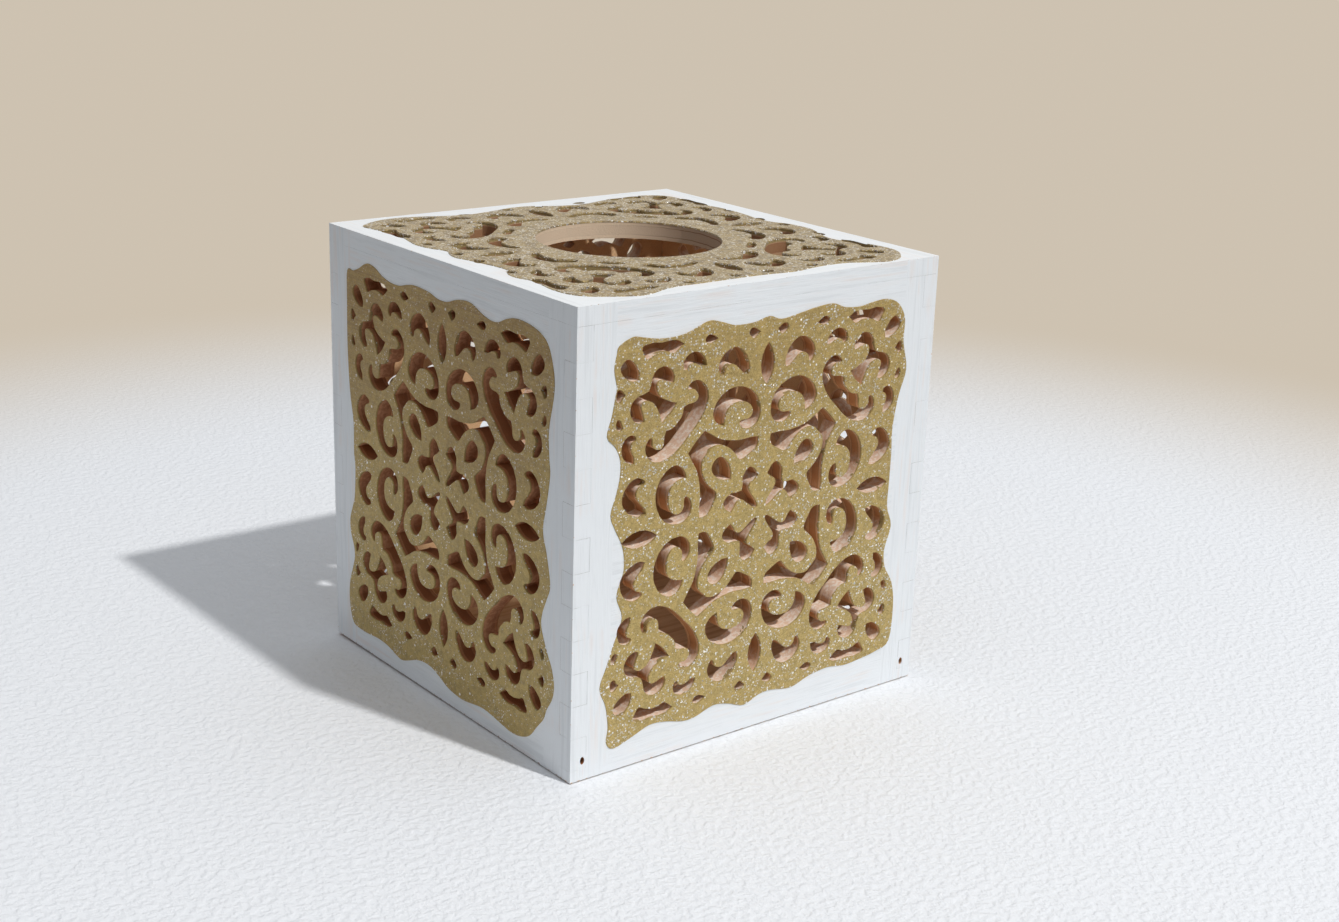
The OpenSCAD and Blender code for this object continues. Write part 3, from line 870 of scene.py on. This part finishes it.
@dataclass
class GlitterFilm:
    """The raised gold films over the lacework of the outer faces.

    A film's foot spills over the rims of the cuts, and its lip stays back from them.
    """

    effects: Effects
    thick: float = 0.22 * MM
    sunk: float = 0.22 * MM
    spill: float = 0.09 * MM
    lip: float = 0.03 * MM
    trim_reach: float = 0.88 * MM
    weld_gap: float = 0.004 * MM
    facing: float = 0.9
    smooth_steps: int = 4

    def build(self) -> None:
        """Makes the film of each outer face and lets it ride on the box."""
        paints = {
            "rich": GlitterPaint(dense=0.12),
            # Painted shade: the faces in shade get a duller copy of the glitter, with fewer flecks and
            # darker streaks.
            "plain": GlitterPaint(dense=-0.32, streaks=0.95, soft=0.68, coat=0.1, mottle=0.16),
            # The top's extra silver flakes are partly real and partly a painted reflection of the sky,
            # which that face shows at a low view.
            "frosted": GlitterPaint(silver=0.14, dense=0.8, thin=0.44, streaks=0.05, coat=0.6,
                                    mottle=0.62)}
        rich, plain, frosted = (paint.make(f"gold_glitter_{name}", self.effects)
                                for name, paint in paints.items())
        films = {Face.FRONT: (FRONT_EDGE, rich), Face.BACK: (FRONT_EDGE, rich),
                 Face.LEFT: (LEFT_EDGE, plain), Face.RIGHT: (LEFT_EDGE, plain),
                 Face.TOP: (TOP_EDGE, frosted)}
        for face, (edge, paint) in films.items():
            film = self._film(face, edge)
            film.data.materials.append(paint)
            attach(film, "box")
            log.info("made %s with %d faces", film.name, len(film.data.polygons))

    def _film(self, face: Face, edge: tuple[Point, ...]) -> bpy.types.Object:
        """Makes the film of one face: its lacework, trimmed to a wavy edge.

        Args:
            face: the outer face that carries the film.
            edge: the film's outline, in millimetres from the face's upper left corner.

        Returns:
            The finished film.
        """
        lace = as_object(f"gold_{face.name.lower()}", self._lace(face))
        trim = as_object("trim", self._trim(face, edge))
        cut = lace.modifiers.new("trim", "BOOLEAN")
        cut.operation, cut.solver, cut.object = "INTERSECT", "EXACT", trim
        shaped = bpy.data.meshes.new_from_object(lace.evaluated_get(bpy.context.evaluated_depsgraph_get()))
        lace.modifiers.clear()
        plain, lace.data = lace.data, shaped
        bpy.data.meshes.remove(plain)
        bpy.data.objects.remove(trim)
        self._round_lip(lace.data, face)
        lace.data.name = lace.name
        lace.data.materials.clear()
        shade_by_angle(lace)
        lace.modifiers.new("even", "WEIGHTED_NORMAL").keep_sharp = True
        return lace

    def _lace(self, face: Face) -> bmesh.types.BMesh:
        """A closed sheet as wide as the panel's outer face, with all its cuts."""
        sheet = bmesh.new()
        sheet.from_mesh(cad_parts[face.panel].data)
        bmesh.ops.remove_doubles(sheet, verts=sheet.verts, dist=MERGE_GAP)
        level = max(v.co.dot(face.outward) for v in sheet.verts)
        inner = [f for f in sheet.faces
                 if f.normal.dot(face.outward) < self.facing
                 or f.calc_center_median().dot(face.outward) < level - self.sunk]
        bmesh.ops.delete(sheet, geom=inner, context="FACES")
        bmesh.ops.translate(sheet, verts=sheet.verts, vec=-face.outward * self.sunk)
        thicken(sheet, face.outward * (self.sunk + self.thick))
        return sheet

    def _trim(self, face: Face, edge: tuple[Point, ...]) -> bmesh.types.BMesh:
        """A closed block with the film's wavy outline, deeper than the film."""
        sizes = self.effects.sizes
        rise = sizes.half if face is Face.TOP else sizes.height
        corner = face.up * rise - face.across * sizes.half
        base = corner + face.outward * (sizes.level(face) - self.trim_reach)
        block = bmesh.new()
        ring = [block.verts.new(base + face.across * x * MM - face.up * y * MM)
                for x, y in self._smooth(edge)]
        block.faces.new(ring)
        thicken(block, face.outward * 2 * self.trim_reach)
        return block

    def _smooth(self, edge: tuple[Point, ...]) -> list[Point]:
        """A smooth closed line through the points of an outline."""
        line = []
        count = len(edge)
        for i, here in enumerate(edge):
            before, after, beyond = edge[i - 1], edge[(i + 1) % count], edge[(i + 2) % count]
            for k in range(self.smooth_steps):
                t = k / self.smooth_steps
                line.append(tuple(
                    0.5 * (2 * b + (c - a) * t + (2 * a - 5 * b + 4 * c - d) * t * t
                           + (3 * b - a - 3 * c + d) * t ** 3)
                    for a, b, c, d in zip(before, here, after, beyond)))
        return line

    def _round_lip(self, mesh: bpy.types.Mesh, face: Face) -> None:
        """Lets the film run a little over the rims of the cuts and slopes its edge.

        Args:
            mesh: the trimmed film.
            face: the outer face that carries it.
        """
        film = bmesh.new()
        film.from_mesh(mesh)
        bmesh.ops.remove_doubles(film, verts=film.verts, dist=self.weld_gap)
        bmesh.ops.dissolve_degenerate(film, edges=film.edges, dist=self.weld_gap)
        film.normal_update()
        levels = [v.co.dot(face.outward) for v in film.verts]
        middle = (max(levels) + min(levels)) / 2
        moves = []
        for vertex in film.verts:
            sides = [f.normal for f in vertex.link_faces if abs(f.normal.dot(face.outward)) < 0.5]
            reach = -self.lip if vertex.co.dot(face.outward) > middle else self.spill
            moves.append(sum(sides, Vector()).normalized() * reach)
        for vertex, move in zip(film.verts, moves):
            vertex.co += move
        film.to_mesh(mesh)
        film.free()


@dataclass
class PaintRims:
    """The paint that has run into the two small groove ends on the front and narrows them.

    The half width and half height of a rim and its hole, and its place, are in millimetres.
    """

    outer: Point = (1.95, 2.10)
    hole: Point = (0.74, 1.18)
    middle: Point = (63.3, 6.1)
    steps: int = 32
    deep: float = 1.0 * MM
    proud: float = 0.015 * MM

    def build(self) -> None:
        """Makes the rim of each groove end and lets it ride on the box."""
        for side, wall in ((-1, Face.LEFT), (1, Face.RIGHT)):
            rim = as_object(f"paint_rim_{wall.name.lower()}", self._rim(side))
            rim.data.materials.append(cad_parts[wall.panel].data.materials[0])
            shade_by_angle(rim)
            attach(rim, "box")
            log.info("made %s", rim.name)

    def _rim(self, side: int) -> bmesh.types.BMesh:
        """A flat ring with a rounded hole, pushed into one groove end.

        Args:
            side: -1 for the left groove end, 1 for the right one.

        Returns:
            The closed ring, in place.
        """
        ring = bmesh.new()
        for across, up in (self.outer, self.hole):
            made = bmesh.ops.create_circle(ring, segments=self.steps, radius=1.0)
            bmesh.ops.scale(ring, verts=made["verts"], vec=(across * MM, up * MM, 1))
        bmesh.ops.bridge_loops(ring, edges=ring.edges[:])
        thicken(ring, -UP * self.deep)
        bmesh.ops.rotate(ring, verts=ring.verts, matrix=Matrix.Rotation(math.pi / 2, 3, "X"))
        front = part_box(Face.FRONT.panel)[0].y - self.proud
        place = (side * self.middle[0] * MM, front, self.middle[1] * MM)
        bmesh.ops.translate(ring, verts=ring.verts, vec=place)
        return ring


def thicken(sheet: bmesh.types.BMesh, way: Vector) -> None:
    """Makes a closed solid of an open sheet by extruding it a given way."""
    raised = bmesh.ops.extrude_face_region(sheet, geom=sheet.faces[:])
    moved = [v for v in raised["geom"] if isinstance(v, bmesh.types.BMVert)]
    bmesh.ops.translate(sheet, verts=moved, vec=way)
    bmesh.ops.recalc_face_normals(sheet, faces=sheet.faces)


def add_object(name: str, data: bpy.types.ID) -> bpy.types.Object:
    """Adds an object that holds a mesh, a lamp or a camera to the scene."""
    thing = bpy.data.objects.new(name, data)
    bpy.context.scene.collection.objects.link(thing)
    return thing


def aim(thing: bpy.types.Object, place: Vector, way: Vector, roll: float = 0.0) -> None:
    """Puts a lamp or a camera in its place and turns it.

    Args:
        thing: the lamp or camera.
        place: where it stands.
        way: the way it looks.
        roll: how far it is rolled about that way, in radians.
    """
    thing.location = place
    thing.rotation_mode = "QUATERNION"
    thing.rotation_quaternion = way.to_track_quat("-Z", "Y") @ Quaternion((0, 0, 1), roll)


def as_object(name: str, shape: bmesh.types.BMesh) -> bpy.types.Object:
    """Turns a bmesh into an object in the scene and frees it.

    Args:
        name: the object's name.
        shape: the bmesh.

    Returns:
        The object.
    """
    mesh = bpy.data.meshes.new(name)
    shape.to_mesh(mesh)
    shape.free()
    piece = add_object(name, mesh)
    bpy.context.view_layer.update()
    return piece


# ---- the studio ----
@dataclass
class Studio:
    """The floor, the key lamp, the sky and the camera.

    Within the tone radii the floor turns into the backdrop's tone, and within the dim radii it
    throws back less light. The sky leans to the right, where it is brighter.
    """

    sizes: BoxSizes
    table_white: Colour = (0.785, 0.806, 0.842)
    table_shade: Colour = (0.74, 0.76, 0.78)
    far_tone: Colour = (0.615, 0.540, 0.440)
    tone_radius: Point = (0.27, 0.55)
    floor_radius: float = 5.0
    floor_steps: int = 96
    foot_gap: float = 0.62 * MM
    floor_tilt: float = math.radians(0.25)
    dim_radius: Point = (0.16, 0.60)
    dim_floor: Colour = (0.20, 0.20, 0.20)
    key_from: Triple = (0.151, -0.592, 0.791)
    key_far: float = 4.0
    key_size: float = 0.16
    key_power: float = 115.5
    key_colour: Colour = (1.0, 0.985, 0.96)
    sky_low: Colour = (0.069, 0.071, 0.074)
    sky_high: Colour = (0.700, 0.716, 0.737)
    sky_lean: float = 0.26
    eye: Triple = (-356.4, -470.2, 254.6)
    gaze: Triple = (0.5946, 0.7449, -0.3027)
    roll: float = math.radians(1.838)
    lens: float = 51.82
    sensor: float = 36.0
    clip: Point = (0.01, 50.0)

    def build(self) -> None:
        """Sets up the floor, the key lamp, the sky and the camera."""
        self._floor()
        self._key()
        self._sky()
        self._camera()
        bpy.context.scene.view_settings.view_transform = "Standard"
        log.info("studio ready")

    def _floor(self) -> None:
        """A pale embossed cloth that looks like the far tone away from the box."""
        disc = bmesh.new()
        bmesh.ops.create_circle(disc, cap_ends=True, segments=self.floor_steps, radius=self.floor_radius)
        bmesh.ops.rotate(disc, verts=disc.verts, matrix=Matrix.Rotation(-self.floor_tilt, 3, "X"))
        bmesh.ops.translate(disc, verts=disc.verts, vec=(0, 0, -self.foot_gap))
        floor = as_object("floor", disc)
        finish = Finish("floor_cloth")
        wires, shader = finish.wires, finish.shader.inputs
        distance = wires.vector("LENGTH", finish.position, result="Value")
        away = wires.step(distance, *(radius / MM for radius in self.tone_radius))
        mottle = wires.times(wires.noise(finish.position, 0.02, 3.0), 0.12)
        near = wires.mix(mottle, self.table_white, self.table_shade)
        seen = wires.seen()
        dim = wires.step(distance, *(radius / MM for radius in self.dim_radius))
        dim = wires.times(dim, wires.rest(seen))
        wires.feed(shader["Base Color"], wires.mix(dim, near, self.dim_floor))
        shader["Roughness"].default_value = 0.85
        shader["Specular IOR Level"].default_value = 0.2
        crumple = wires.noise(finish.position, 0.42, 5.0)
        finish.bump(wires.step(crumple, 0.36, 0.66), 0.52, 0.5 * MM)
        glow = wires.node("ShaderNodeEmission")
        glow.inputs["Color"].default_value = (*self.far_tone, 1.0)
        blend = wires.filled(wires.node("ShaderNodeMixShader"), wires.times(seen, away),
                             finish.shader.outputs[0], glow.outputs[0])
        wires.feed(finish.surface, blend.outputs[0])
        floor.data.materials.append(finish.material)

    def _key(self) -> None:
        """A small lamp far off, in front and above, that throws crisp shadows."""
        key = bpy.data.lights.new("key", "AREA")
        key.shape, key.size, key.energy = "DISK", self.key_size, self.key_power
        key.color = self.key_colour
        middle = Vector((0, 0, self.sizes.height / 2))
        away = Vector(self.key_from).normalized() * self.key_far
        aim(add_object("key", key), middle + away, -away)

    def _sky(self) -> None:
        """A soft sky, brighter overhead, that shows the far tone to the camera."""
        world = bpy.data.worlds.new("sky")
        world.use_nodes = True
        world.node_tree.nodes.clear()
        wires = Wiring(world.node_tree)
        aside, _, above = wires.parts(wires.node("ShaderNodeTexCoord").outputs["Generated"])
        overhead = wires.times(wires.math("MAXIMUM", above, 0.0), wires.line(aside, self.sky_lean, 1.0))
        glow = wires.mix(overhead, self.sky_low, self.sky_high)
        sky = wires.node("ShaderNodeBackground")
        wires.feed(sky.inputs["Color"], wires.mix(wires.seen(), glow, self.far_tone))
        output = wires.node("ShaderNodeOutputWorld")
        wires.feed(output.inputs["Surface"], sky.outputs[0])
        bpy.context.scene.world = world

    def _camera(self) -> None:
        """The camera, a little rolled."""
        data = bpy.data.cameras.new("camera")
        data.lens, data.sensor_width, data.sensor_fit = self.lens, self.sensor, "HORIZONTAL"
        data.clip_start, data.clip_end = self.clip
        camera = add_object("camera", data)
        aim(camera, Vector(self.eye) * MM, Vector(self.gaze).normalized(), self.roll)
        bpy.context.scene.camera = camera


def write_sizes() -> None:
    """Logs a line; it writes no sizes."""
    log.info("sizes written")


def main() -> None:
    """Builds the studio and dresses the box."""
    sizes = BoxSizes.from_frame()
    effects = Effects(sizes)
    EasedPanels(effects).dress()
    GlitterFilm(effects).build()
    PaintRims().build()
    Studio(sizes).build()
    write_sizes()


if __name__ == "__main__":
    main()
